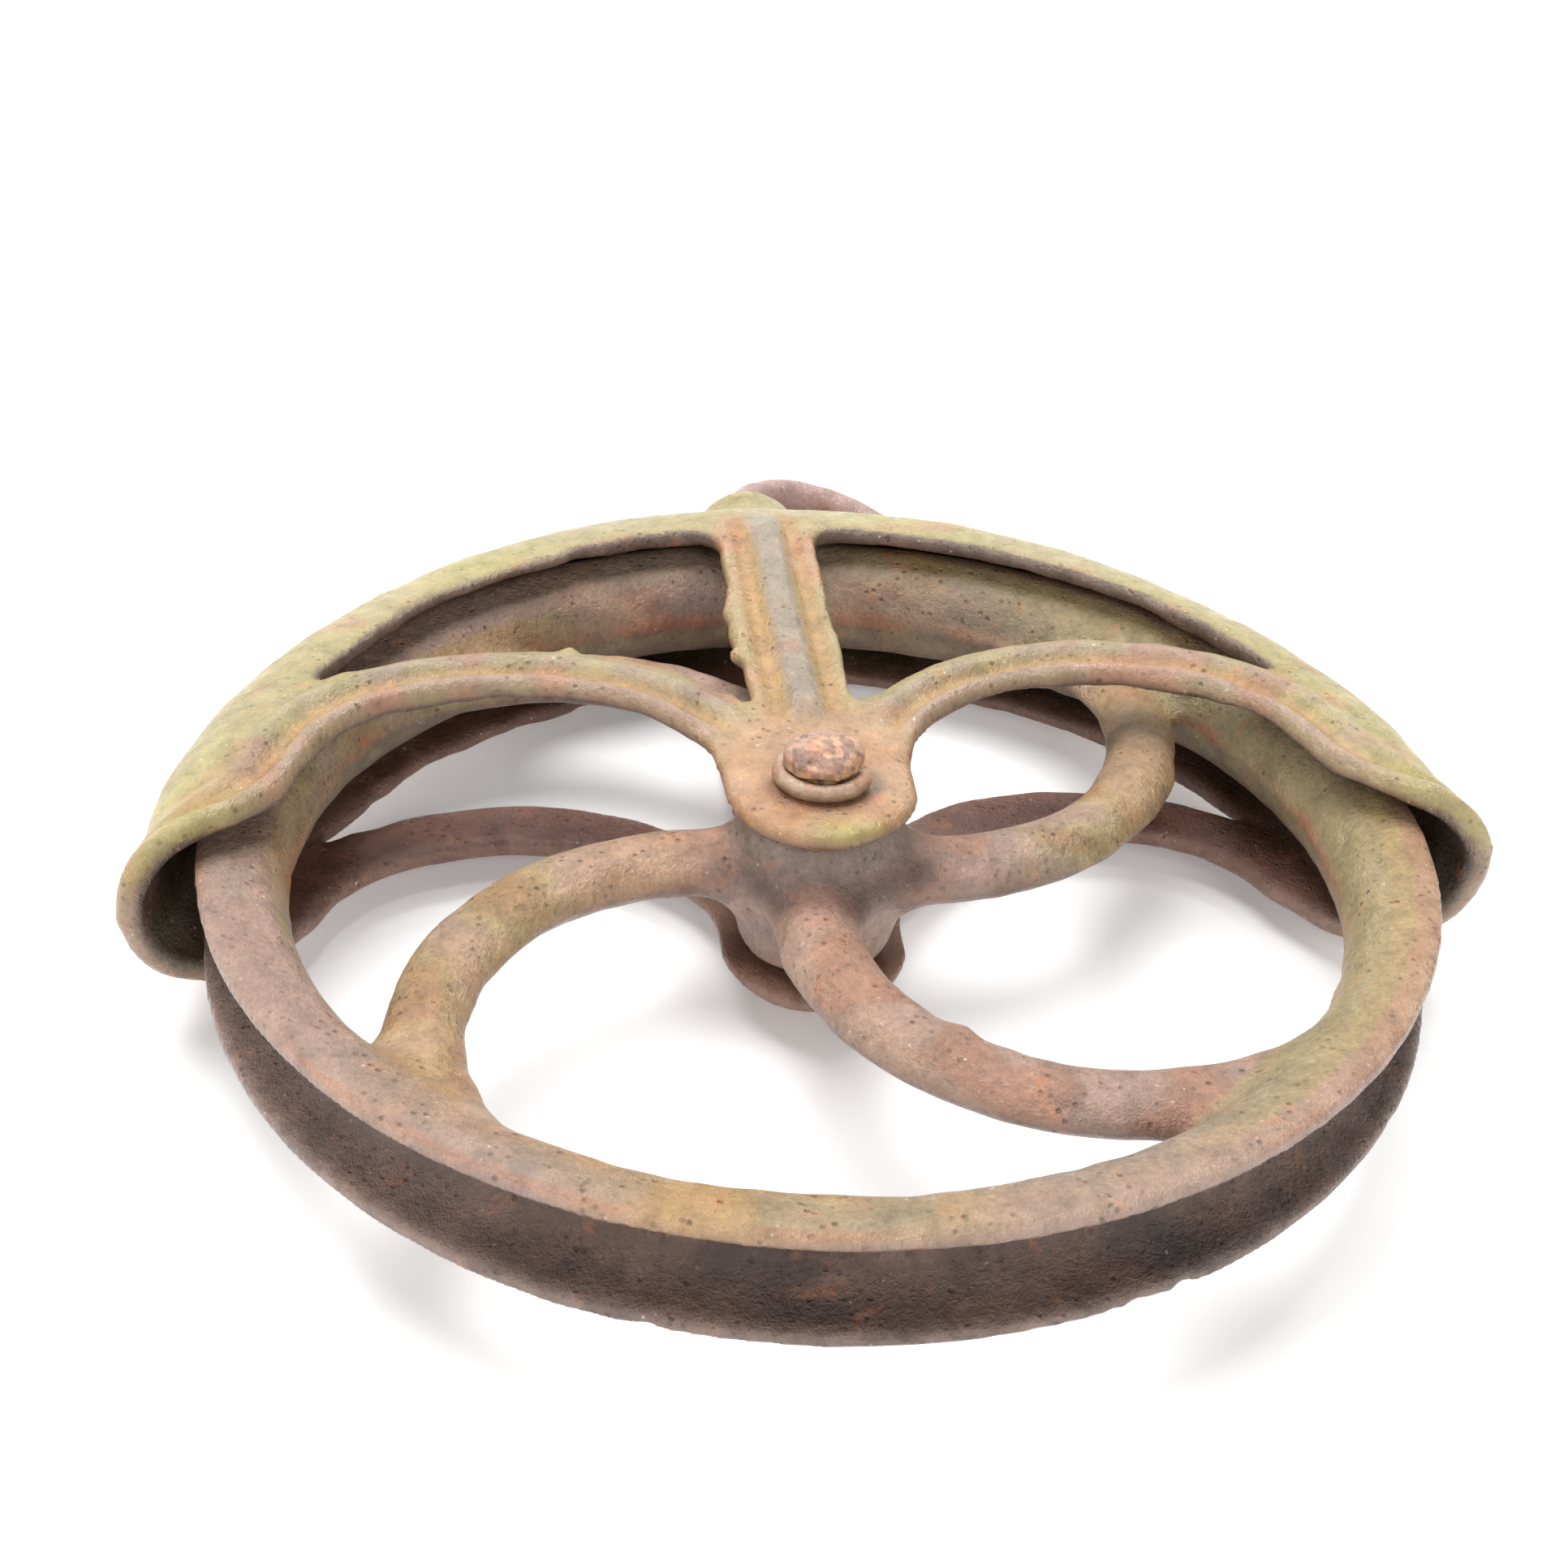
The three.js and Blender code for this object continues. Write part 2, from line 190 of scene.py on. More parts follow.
def curve_through(points, steps=8):
    """Points of a smooth curve through the given ones."""
    p = np.array(points, float)
    p = np.vstack([2 * p[0] - p[1], p, 2 * p[-1] - p[-2]])
    out = []
    for i in range(1, len(p) - 2):
        a, b, c, d = p[i - 1:i + 3]
        for t in np.arange(steps) / steps:
            out.append(0.5 * (
                2 * b + (c - a) * t + (2 * a - 5 * b + 4 * c - d) * t ** 2
                + (3 * b - a - 3 * c + d) * t ** 3
            ))
    out.append(p[-2])
    return np.array(out)


class Section:
    """A section in radius and height, kept as a table of distances."""

    STEP = 0.25

    def __init__(self, corners, low, high):
        self.low = np.array(low, float)
        u = np.arange(low[0], high[0] + self.STEP, self.STEP)[:, None]
        v = np.arange(low[1], high[1] + self.STEP, self.STEP)[None, :]
        self.table = polygon_distance(np.array(corners, float), u, v)

    def __call__(self, radius, height):
        u = (radius - self.low[0]) / self.STEP
        v = (height - self.low[1]) / self.STEP
        u = np.clip(u, 0, self.table.shape[0] - 1.001)
        v = np.clip(v, 0, self.table.shape[1] - 1.001)
        i, j = u.astype(np.int32), v.astype(np.int32)
        s, t = u - i, v - j
        near = self.table[i, j] * (1 - t) + self.table[i, j + 1] * t
        far = self.table[i + 1, j] * (1 - t) + self.table[i + 1, j + 1] * t
        return (near * (1 - s) + far * s).astype(np.float32)


def softened(field, passes):
    """The field with its edges rounded over by a few steps."""
    for _ in range(passes):
        for axis in range(3):
            field = (np.roll(field, 1, axis) + np.roll(field, -1, axis) + 2 * field) / 4
    return field


def oval_distance(across, up, half_width, half_height):
    """The distance to an oval bar's skin."""
    inner = np.sqrt((across / half_width) ** 2 + (up / half_height) ** 2) + 1e-6
    slope = np.sqrt((across / half_width ** 2) ** 2 + (up / half_height ** 2) ** 2) + 1e-6
    return inner * (inner - 1) / slope


def bar_distance(x, y, z, points, radii):
    """The distance to a round bar along a line of points, with a radius at each."""
    best = None
    for (a, b, ra, rb) in zip(points[:-1], points[1:], radii[:-1], radii[1:]):
        e = b - a
        w = (x - a[0], y - a[1], z - a[2])
        t = np.clip((w[0] * e[0] + w[1] * e[1] + w[2] * e[2]) / float(e @ e), 0, 1)
        gap = np.sqrt(sum((w[k] - t * e[k]) ** 2 for k in range(3))) - (ra + (rb - ra) * t)
        best = gap if best is None else np.minimum(best, gap)
    return best


# ------------------------------------------------------------------ paint

def hue(red, green, blue):
    """A colour given as sRGB out of 255, as linear light."""
    c = np.array([red, green, blue]) / 255
    return np.where(c <= 0.04045, c / 12.92, ((c + 0.055) / 1.055) ** 2.4)


OLIVE = hue(153, 139, 86)
LICHEN = hue(158, 148, 68)
OCHRE = hue(166, 126, 72)
TAN = hue(174, 134, 96)
ORANGE = hue(162, 96, 54)
MAUVE = hue(152, 123, 108)
GREY = hue(134, 122, 110)
RUST = hue(114, 70, 52)
BROWN = hue(88, 60, 50)
DARK = hue(44, 30, 26)


def over(base, colour, amount):
    """Base paint with another colour laid over it, by an amount at each point."""
    share = np.clip(amount, 0, 1)[:, None]
    return base * (1 - share) + colour * share


def plain(colour, count):
    """One colour for every vertex."""
    return np.tile(colour, (count, 1))


# ------------------------------------------------------------------ meshes

def meshed(name, grid, field, paint, body, material, replaced):
    """The field's surface as an object in the row frame, painted and hung on a CAD body.
    paint(points in mm, normals) gives each vertex its colour."""
    clipped = np.clip(field, -BAND, BAND).astype(np.float32)
    volume = openvdb.FloatGrid(BAND)
    volume.copyFromArray(clipped)
    points, quads = volume.convertToQuads(0.0)
    # The quads' corners turn so that the faces look outward.
    a, b, c, d = (points[quads[:, k]] for k in range(4))
    if np.einsum("ij,ij->i", a, np.cross(b, c) + np.cross(c, d)).sum() < 0:
        quads = quads[:, ::-1]
    origin = np.array([axis[0] for axis in grid.axes])
    places = points * grid.step + origin
    mesh = bpy.data.meshes.new(name)
    mesh.from_pydata((places * MM).tolist(), [], quads.tolist())
    mesh.polygons.foreach_set("use_smooth", np.ones(len(mesh.polygons), bool))
    mesh.update()
    normals = np.zeros(len(mesh.vertices) * 3, np.float32)
    mesh.vertices.foreach_get("normal", normals)
    edge = grid.sample(softened(clipped, 6), points) / (2.2 * grid.step)
    colour = np.ones((len(mesh.vertices), 4), np.float32)
    colour[:, :3] = paint(places, normals.reshape(-1, 3))
    tone = mesh.color_attributes.new("tone", "FLOAT_COLOR", "POINT")
    tone.data.foreach_set("color", colour.ravel())
    wear = mesh.attributes.new("wear", "FLOAT", "POINT")
    wear.data.foreach_set("value", np.clip(edge, -1, 1).astype(np.float32))
    mesh.materials.append(material)
    piece = bpy.data.objects.new(name, mesh)
    bpy.context.scene.collection.objects.link(piece)
    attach(piece, body)
    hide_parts(replaced)
    print(f"{name}: {2 * len(quads)} triangles")
    return piece


def point_noise(places, scale, seed):
    """Smooth random values with a spread of about one at scattered points."""
    lattice = np.random.default_rng(seed).standard_normal((32, 32, 32))
    u = places / scale + 1000
    cell = np.floor(u).astype(int)
    t = u - cell
    t = t * t * (3 - 2 * t)
    total = 0
    for a in (0, 1):
        for b in (0, 1):
            for c in (0, 1):
                corner = lattice[(cell[:, 0] + a) % 32, (cell[:, 1] + b) % 32, (cell[:, 2] + c) % 32]
                share = (t[:, 0] if a else 1 - t[:, 0]) * (t[:, 1] if b else 1 - t[:, 1])
                total = total + corner * share * (t[:, 2] if c else 1 - t[:, 2])
    return total * 1.7


# ------------------------------------------------------------------ worn iron

class Nodes:
    """A few short ways to add shader nodes."""

    def __init__(self, name):
        self.material = bpy.data.materials.new(name)
        self.material.use_nodes = True
        self.tree = self.material.node_tree
        self.tree.nodes.clear()

    def add(self, kind, inputs=None, **settings):
        node = self.tree.nodes.new(kind)
        for key, value in settings.items():
            setattr(node, key, value)
        for key, value in (inputs or {}).items():
            if isinstance(value, bpy.types.NodeSocket):
                self.tree.links.new(value, node.inputs[key])
            else:
                node.inputs[key].default_value = value
        return node

    def noise(self, place, scale, detail=6, roughness=0.6, distortion=0.0):
        values = {
            "Vector": place, "Scale": scale, "Detail": detail,
            "Roughness": roughness, "Distortion": distortion,
        }
        return self.add("ShaderNodeTexNoise", values).outputs["Fac"]

    def band(self, value, low, high, to_low=0.0, to_high=1.0):
        values = {
            "Value": value, "From Min": low, "From Max": high,
            "To Min": to_low, "To Max": to_high,
        }
        return self.add("ShaderNodeMapRange", values).outputs["Result"]

    def mix(self, amount, first, second, blend="MIX"):
        node = self.add("ShaderNodeMix", data_type="RGBA", blend_type=blend)
        for socket, value in ((node.inputs[0], amount), (node.inputs[6], first), (node.inputs[7], second)):
            if isinstance(value, bpy.types.NodeSocket):
                self.tree.links.new(value, socket)
            else:
                socket.default_value = value
        return node.outputs[2]

    def math(self, operation, first, second):
        node = self.add("ShaderNodeMath", operation=operation)
        for socket, value in zip(node.inputs, (first, second)):
            if isinstance(value, bpy.types.NodeSocket):
                self.tree.links.new(value, socket)
            else:
                socket.default_value = value
        return node.outputs[0]


def colour4(colour):
    """A colour with full alpha, for a shader socket."""
    return (*[float(c) for c in colour], 1.0)


def worn_iron(name, mottle, crust, dust, gloss, grain):
    """Old iron: paint and rust from the mesh's own tone, broken up by mottling, rust crumbs,
    pits and dust. Rubbed edges are smoother and greyer, hollows hold more rust."""
    n = Nodes(name)
    place = n.add("ShaderNodeTexCoord").outputs["Object"]
    tone = n.add("ShaderNodeAttribute", attribute_name="tone").outputs["Color"]
    wear = n.add("ShaderNodeAttribute", attribute_name="wear").outputs["Fac"]
    broad = n.noise(place, 42, 7, 0.68, 0.6)
    medium = n.noise(place, 170, 7, 0.7, 0.3)
    fine = n.noise(place, 760, 5, 0.65)
    sand = n.noise(place, 1900, 3, 0.6)
    patch = n.noise(place, 95, 5, 0.72, 1.2)
    spots = n.add("ShaderNodeTexVoronoi", {"Vector": place, "Scale": 430.0, "Randomness": 1.0})
    motes = n.add("ShaderNodeTexVoronoi", {"Vector": place, "Scale": 300.0, "Randomness": 1.0})

    shade = n.band(medium, 0.32, 0.68, 1 - mottle, 1 + mottle)
    shade = n.math("MULTIPLY", shade, n.band(fine, 0.3, 0.7, 1 - 0.7 * mottle, 1 + 0.7 * mottle))
    shade = n.math("MULTIPLY", shade, n.band(broad, 0.3, 0.7, 1 - 0.5 * mottle, 1 + 0.5 * mottle))
    grey = n.add("ShaderNodeCombineColor", {"Red": shade, "Green": shade, "Blue": shade})
    paint = n.mix(1.0, tone, grey.outputs["Color"], "MULTIPLY")

    rust = n.band(patch, 0.56, 0.7)
    rust = n.math("MULTIPLY", rust, n.band(medium, 0.42, 0.6))
    rust = n.math("MULTIPLY", rust, crust)
    paint = n.mix(rust, paint, colour4(hue(186, 110, 62)))
    bloom = n.math("MULTIPLY", n.band(broad, 0.5, 0.72), 0.35)
    paint = n.mix(bloom, paint, colour4(MAUVE))
    rubbed = n.math("MULTIPLY", n.band(wear, 0.08, 0.4), n.band(medium, 0.35, 0.6, 0.1, 0.6))
    bared = n.mix(0.4, tone, colour4(hue(188, 160, 140)))
    paint = n.mix(rubbed, paint, bared)
    hollow = n.math("MULTIPLY", n.band(wear, -0.1, -0.5), 0.45)
    paint = n.mix(hollow, paint, colour4(ORANGE * 0.55))
    pit = n.math("MULTIPLY", n.band(spots.outputs["Distance"], 0.3, 0.12), n.band(patch, 0.45, 0.6))
    paint = n.mix(n.math("MULTIPLY", pit, 0.6), paint, colour4(DARK * 0.6))
    mote = n.math("MULTIPLY", n.band(motes.outputs["Distance"], 0.13, 0.08), n.band(fine, 0.5, 0.62))
    paint = n.mix(n.math("MULTIPLY", mote, dust), paint, colour4(hue(238, 230, 220)))

    height = n.math("MULTIPLY", medium, 0.9)
    height = n.math("ADD", height, n.math("MULTIPLY", fine, 0.55))
    height = n.math("ADD", height, n.math("MULTIPLY", sand, 0.28))
    height = n.math("SUBTRACT", height, n.math("MULTIPLY", pit, 0.35))
    relief = n.add("ShaderNodeBump", {"Height": height, "Strength": grain, "Distance": 0.0014})

    rough = n.band(medium, 0.3, 0.7, gloss + 0.1, gloss - 0.06)
    rough = n.math("ADD", rough, n.math("MULTIPLY", rust, 0.25))
    rough = n.math("SUBTRACT", rough, n.math("MULTIPLY", rubbed, 0.2))
    shader = n.add("ShaderNodeBsdfPrincipled", {
        "Base Color": paint, "Roughness": rough, "Normal": relief.outputs["Normal"],
        "Metallic": 0.0, "Specular IOR Level": 0.85,
    })
    output = n.add("ShaderNodeOutputMaterial")
    n.tree.links.new(shader.outputs["BSDF"], output.inputs["Surface"])
    return n.material


# ------------------------------------------------------------------ hooded frame

# Crumbs of casting flash (place and size, heights from the middle of the frame).
FRAME_LUMPS = [
    (-49.6, 57.4, 21.0, 2.2), (-13.2, 55.0, 21.0, 1.5), (-15.5, 36.0, 21.2, 1.5),
]
CHEEK_OUTER = 22.7
CHEEK_INNER = 18.5
BULGE_START = 110.0
BULGE_POWER = 2.6
HOOD_RADIUS = 139.5
WALL = 4.2
CROWN_RADIUS = 14.6
CROWN_FROM = 128.0
SHANK_BORE_RADIUS = 5.2
WASHER_SEAT_RADIUS = 10.2
WASHER_SEAT_Y = 140.3
AXLE_BORE_RADIUS = 6.8
WINDOW_RADIUS = 115.8
# How far the hood swells out at each angle from the crown, in degrees.
SWELL_AT = [0, 15, 25, 35, 45, 55, 65, 78, 100]
SWELL = [4.0, 3.8, 3.0, 1.4, -0.3, -1.5, -1.7, -0.6, -0.6]


def hood_section(half_height, radius):
    """Corners of the drum's section: flat cheeks and a bulging, slightly square edge."""
    power = 2 / BULGE_POWER
    corners = [(60.0, -half_height)]
    for angle in np.radians(np.linspace(-90, 90, 61)):
        out = max(0.0, math.cos(angle)) ** power
        up = math.copysign(abs(math.sin(angle)) ** power, angle)
        corners.append((BULGE_START + (radius - BULGE_START) * out, half_height * up))
    corners.append((60.0, half_height))
    return corners


def frame_outline(mouth):
    """The frame seen along its axle: boss, underside of the arms, and one half's mouths."""
    boss = [(20.0 * math.sin(math.radians(a)), -20.4 * math.cos(math.radians(a)))
            for a in range(0, 100, 10)]
    arm = [(20.6, 8.0), (23.2, 18.5), (30.5, 28.5), (41.0, 36.6), (53.0, 41.0), (65.0, 42.0),
           (79.0, 40.0), (91.0, 35.0), (100.0, 27.0), (105.0, 17.0)]
    right = np.vstack([curve_through(boss + arm + mouth, 4), [(170, mouth[-1][1]), (170, 190)]])
    left = right[::-1] * (-1, 1)
    return np.vstack([right, left])


# The hood's mouths lean: their upper lips hang lower than their lower ones.
UPPER_MOUTH = [(107.8, 8.0), (112.0, 0.5), (119.0, -7.0), (129.0, -12.6), (140.0, -15.4)]
LOWER_MOUTH = [(108.5, 12.0), (113.0, 6.0), (120.0, 1.0), (129.0, -2.0), (140.0, -3.6)]


def frame_edge(x, y, z):
    """Distance to the frame's edge, which leans from the upper half to the lower."""
    upper = polygon_distance(frame_outline(UPPER_MOUTH), x, y)
    lower = polygon_distance(frame_outline(LOWER_MOUTH), x, y)
    share = np.clip((10.0 - z) / 32.0, 0, 1)
    return upper * (1 - share) + lower * share


def window_outline():
    """The opening between an arm, the rib and the hood, on the side of +X."""
    arm = [(11.5, 33.5), (17.0, 37.0), (26.0, 46.0), (37.0, 53.0), (50.0, 57.0), (62.0, 58.4),
           (76.0, 57.2), (90.0, 53.0), (101.0, 47.2), (109.5, 41.2)]
    hood = [(WINDOW_RADIUS * math.sin(math.radians(a)), WINDOW_RADIUS * math.cos(math.radians(a)))
            for a in (69, 63, 56, 48, 40, 32, 24, 16, 10.5)]
    corner_by_rib = [(17.0, 114.4), (13.6, 112.6), (11.8, 109.0)]
    return np.vstack([curve_through(arm, 4), hood, corner_by_rib])


def frame_field(grid):
    x, y, z = grid.x, grid.y, grid.z - FRAME_Z
    radius = np.hypot(x, y)
    from_crown = np.degrees(np.arctan2(np.abs(x), y))
    swell = np.interp(from_crown, SWELL_AT, SWELL).astype(np.float32)
    outward = ramp(BULGE_START, 136, radius)
    hood_radius = radius - swell * outward
    lumps = 0.16 * noise(grid, 27, 11) + 0.1 * noise(grid, 8.5, 12) + 0.07 * noise(grid, 3.2, 13)
    ragged = 0.6 * noise(grid, 5.5, 14)

    outline = frame_edge(x, y, z)
    window = polygon_distance(window_outline(), np.abs(x), y)
    inset = -outline
    along_arm = ramp(22, 36, radius)
    arm_relief = (
        1.3 * bump(inset - 2.2, 2.0) - 1.5 * bump(inset - 5.9, 1.5) + 1.7 * bump(inset - 10.0, 2.5)
    ) * along_arm
    arm_relief = arm_relief * (1 - 0.75 * ramp(118, 138, radius))
    on_rib = ramp(22, 30, y) * (1 - ramp(112, 126, y)) * (np.abs(x) < 14)
    rib_relief = (
        1.9 * (1 - ramp(2.2, 4.6, np.abs(x))) - 1.4 * bump(np.abs(x) - 6.5, 1.6)
        + 0.7 * bump(np.abs(x) - 10.4, 1.4)
    ) * on_rib
    flare = 4.0 * bump(inset - 1.0, 8.5) * outward
    seam = 0.55 * bump(z, 1.3) * outward

    outer = Section(hood_section(CHEEK_OUTER, HOOD_RADIUS), (70, -32), (160, 32))
    inner = Section(hood_section(CHEEK_INNER, HOOD_RADIUS - WALL), (70, -32), (160, 32))
    skin = outer(hood_radius, z) - arm_relief - rib_relief - flare - seam
    hollow = inner(hood_radius, z) - 2.4 * bump(inset - 1.0, 8.5) * outward
    solid = blend_common(skin, outline + 0.3 * ragged * along_arm, 3.4)
    # Flash left on the rib's left side, and a ragged step on the hood's edge beside it.
    by_rib = (1 - ramp(16, 20, np.abs(x))) * (x < 0)
    flash = (1.7 + 0.9 * ragged) * ramp(52.5, 55, y) * (1 - ramp(86, 88.5, y)) * by_rib
    step = (1.5 + 0.5 * ragged) * ramp(108, 111, radius) * ramp(23.0, 24.5, from_crown) * (x < 0)
    solid = blend_cut(solid, window + 0.3 * ragged - 0.3 + flash + step, 2.0)
    for cx, cy, cz, size in FRAME_LUMPS:
        lump = np.sqrt((x - cx) ** 2 + (y - cy) ** 2 + (z - cz) ** 2) - size
        solid = blend_add(solid, lump, 2.0)

    across = np.hypot(x, z)
    crown = blend_common(across - CROWN_RADIUS, y - CROWN_TOP - 1.6, 9.0)
    crown = np.maximum(crown, CROWN_FROM - y)
    solid = blend_add(solid, crown, 7.0)
    solid = blend_cut(solid, hollow, 1.2)
    solid = np.maximum(solid, -np.maximum(across - WASHER_SEAT_RADIUS, y - WASHER_SEAT_Y))
    solid = np.maximum(solid, -np.maximum(across - SHANK_BORE_RADIUS, 120 - y))
    solid = np.maximum(solid, AXLE_BORE_RADIUS - radius)
    solid = softened(np.clip(solid, -BAND, BAND), 1) - lumps
    return np.maximum(solid, np.abs(x) - HOOD_REACH)


def frame_paint(p, normals):
    x, y, z = p[:, 0], p[:, 1], p[:, 2] - FRAME_Z
    radius = np.hypot(x, y)
    wide, small = point_noise(p, 34, 21), point_noise(p, 9, 22)
    colour = plain(OLIVE, len(p))
    colour = over(colour, LICHEN, (0.3 + 0.3 * wide) * ramp(96, 122, radius))
    colour = over(colour, TAN, (0.3 + 0.3 * small) * ramp(124, 104, radius))
    inset = -frame_edge(x, y, z)
    arm = ramp(20, 34, radius) * (1 - 0.8 * ramp(108, 126, radius))
    colour = over(colour, MAUVE, 0.8 * bump(inset - 2.0, 2.4) * arm)
    colour = over(colour, OCHRE, 0.85 * bump(inset - 5.6, 1.7) * arm)
    colour = over(colour, GREY, (0.55 + 0.25 * small) * bump(inset - 9.6, 2.4) * arm)
    rib = (np.abs(x) < 12.5) * ramp(16, 26, y) * (1 - ramp(120, 132, y))
    colour = over(colour, OCHRE, 0.9 * bump(np.abs(x) - 6.6, 2.6) * rib)
    colour = over(colour, GREY, 0.75 * (1 - ramp(2.5, 4.6, np.abs(x))) * rib)
    boss = 1 - ramp(20, 34, radius)
    colour = over(colour, TAN, 0.9 * boss)
    colour = over(colour, OCHRE, 0.5 * boss * ramp(0.2, 1.0, small))
    colour = over(colour, LICHEN, 0.8 * boss * (1 - ramp(-19, -12, y)) * ramp(-8, 2, x))
    # A dark band on the boss's top, round the front of the upper ring: painted shadow of the ring.
    colour = over(colour, DARK, 0.75 * bump(radius - 11.3, 1.6) * ramp(6, -4, y) * (z > 15))
    seam = bump(z, 3.0) * ramp(128, 138, radius)
    colour = over(colour, TAN, 0.5 * seam)
    colour = over(colour, ORANGE, 0.35 * ramp(0.6, 1.6, small + 0.5 * wide))
    # Faces that look down are painted rust-brown: painted shade.
    underside = ramp(0.25, -0.35, normals[:, 2])
    colour = over(colour, RUST, 0.75 * underside)
    # Faces that look into the hood, and the hood's edge along its windows, are painted near black and dark
    # brown: painted shade in the hood's hollow and in the gap beside the rim.
    facing = (normals[:, 0] * x + normals[:, 1] * y) / radius
    outward = facing * ramp(112, 132, radius)
    outward = outward + np.sign(z) * normals[:, 2] * (1 - ramp(112, 132, radius))
    inside = ramp(0.0, -0.5, outward) * ramp(24, 34, radius) * ramp(20.4, 19.0, np.abs(z))
    colour = over(colour, DARK, 0.88 * inside)
    lip = ramp(-0.1, -0.5, facing) * ramp(109, 113, radius)
    lip = lip * (polygon_distance(window_outline(), np.abs(x), y) < 3.0)
    colour = over(colour, BROWN * 0.75, 0.92 * lip)
    lower = ramp(-4, -16, z) * (1 - ramp(112, 128, radius))
    return over(colour, hue(112, 68, 52), 0.85 * lower)


# ------------------------------------------------------------------ sheave

SPOKE_COUNT = 4
FIRST_SPOKE = math.radians(-7.8)
SPOKE_BEND = 56.9
SPOKE_FROM = 16.5
SPOKE_SWEEP = math.radians(115)
SPOKE_RUN_OUT = 26.0
HUB_RADIUS = 16.2
GROOVE_CENTRE = 116.5
# Nicks in the lower flange (angle, height, size) and lumps of flash on the spokes.
RIM_CHIPS = [
    (math.radians(-110.1), -12.9, 2.3), (math.radians(-111.2), -13.9, 2.2),
    (math.radians(-72.8), -13.6, 2.4), (math.radians(-70.6), -12.9, 2.4),
    (math.radians(-68.9), -13.6, 2.3), (math.radians(-66.1), -12.8, 2.5),
]
SPOKE_LUMPS = [
    (-87.2, -56.0, -0.5, 1.8), (-89.6, -62.5, -0.5, 2.0), (19.7, -62.0, 2.0, 2.2), (63.5, 4.6, 1.0, 2.0),
]


def rim_section():
    """Corners of the rim: a round-bottomed rope groove, two flanges and a bowed back."""
    corners = []
    for a in np.radians(np.linspace(-90, 90, 25)):
        corners.append((GROOVE_CENTRE - 7.3 * math.cos(a), 11.6 * math.sin(a)))
    corners += [(121.0, 12.9), (125.4, 12.8), (126.5, 12.0), (126.7, 10.8)]
    for a in np.radians(np.linspace(90, -90, 25)):
        corners.append((126.2 - 12.2 * math.cos(a), 9.0 * math.sin(a)))
    corners += [(126.7, -10.8), (126.5, -12.0), (125.4, -12.8), (121.0, -12.9)]
    return corners


def spoke_run(x, y):
    """Distance across the nearest spoke's centre line, and how far along it that is (0 to 1)."""
    nearest, along = None, None
    end = SPOKE_SWEEP - math.pi / 2
    tip = np.array([SPOKE_FROM + SPOKE_BEND * math.cos(end), SPOKE_BEND * (1 + math.sin(end))])
    run = np.array([math.cos(SPOKE_SWEEP), math.sin(SPOKE_SWEEP)])
    length = SPOKE_BEND * SPOKE_SWEEP
    for k in range(SPOKE_COUNT):
        turn = FIRST_SPOKE + 2 * math.pi * k / SPOKE_COUNT
        u = x * math.cos(turn) + y * math.sin(turn)
        v = y * math.cos(turn) - x * math.sin(turn)
        du, dv = u - SPOKE_FROM, v - SPOKE_BEND
        bearing = np.arctan2(dv, du) + math.pi / 2
        bearing = np.where(bearing > math.pi + 0.6, bearing - 2 * math.pi, bearing)
        on_bend = (bearing >= 0) & (bearing <= SPOKE_SWEEP)
        off_bend = np.where(on_bend, np.abs(np.hypot(du, dv) - SPOKE_BEND), 1e3)
        s = np.clip((u - tip[0]) * run[0] + (v - tip[1]) * run[1], 0, SPOKE_RUN_OUT)
        off_run = np.hypot(u - tip[0] - s * run[0], v - tip[1] - s * run[1])
        t = np.clip(u, 4, SPOKE_FROM)
        off_start = np.hypot(u - t, v)
        place = np.where(off_bend <= np.minimum(off_run, off_start), bearing * SPOKE_BEND,
                         np.where(off_run < off_start, length + s, 0))
        gap = np.minimum(np.minimum(off_bend, off_run), off_start)
        place = place / (length + SPOKE_RUN_OUT)
        if nearest is None:
            nearest, along = gap, place
        else:
            closer = gap < nearest
            nearest, along = np.where(closer, gap, nearest), np.where(closer, place, along)
    return nearest, along


def sheave_field(grid):
    x, y, z = grid.x, grid.y, grid.z - SHEAVE_Z
    radius = np.hypot(x, y)
    lumps = 0.1 * noise(grid, 24, 31) + 0.09 * noise(grid, 8, 32) + 0.09 * noise(grid, 3.1, 33)
    lumps = lumps * (1 - 0.6 * ramp(113, 118, radius))
    crusty = noise(grid, 5.0, 34)
    gap, along = spoke_run(x, y)
    half_width = 8.3 - 0.9 * along
    half_height = 6.6 - 1.9 * along
    spokes = oval_distance(gap, z, half_width, half_height)
    spokes = spokes - (0.5 + 0.35 * crusty) * bump(z + 0.5, 1.2)
    spokes = np.maximum(spokes, radius - 113)
    hub = blend_common(radius - HUB_RADIUS, np.abs(z - (HUB_ABOVE - HUB_BELOW) / 2) - 16.4, 3.0)
    hub = hub - 1.6 * bump(z, 5.0)
    rim = Section(rim_section(), (92, -24), (136, 24))(radius + 0 * z, z + 0 * radius)
    rough_back = ramp(114, 110.5, radius)
    rim = rim - rough_back * (0.75 + 0.5 * crusty) * bump(z + 0.4, 1.3)
    wheel = blend_add(spokes, hub, 10.0)
    wheel = blend_add(wheel, rim, 8.5)
    wheel = np.where(radius > 113.2, rim, wheel)
    for angle, height, size in RIM_CHIPS:
        cx, cy = RIM_RADIUS * math.cos(angle), RIM_RADIUS * math.sin(angle)
        chip = np.sqrt((x - cx) ** 2 + (y - cy) ** 2 + (z - height) ** 2) - size
        wheel = blend_cut(wheel, chip, 0.4)
    for cx, cy, cz, size in SPOKE_LUMPS:
        lump = np.sqrt((x - cx) ** 2 + (y - cy) ** 2 + (z - cz) ** 2) - size
        wheel = blend_add(wheel, lump, 3.0)
    wheel = np.maximum(wheel, AXLE_BORE_RADIUS - radius)
    wheel = softened(np.clip(wheel, -BAND, BAND), 1) - lumps
    wheel = np.maximum(wheel, radius - RIM_RADIUS + 0.05)
    wheel = np.maximum(wheel, z - HUB_ABOVE)
    return np.maximum(wheel, -HUB_BELOW - z)


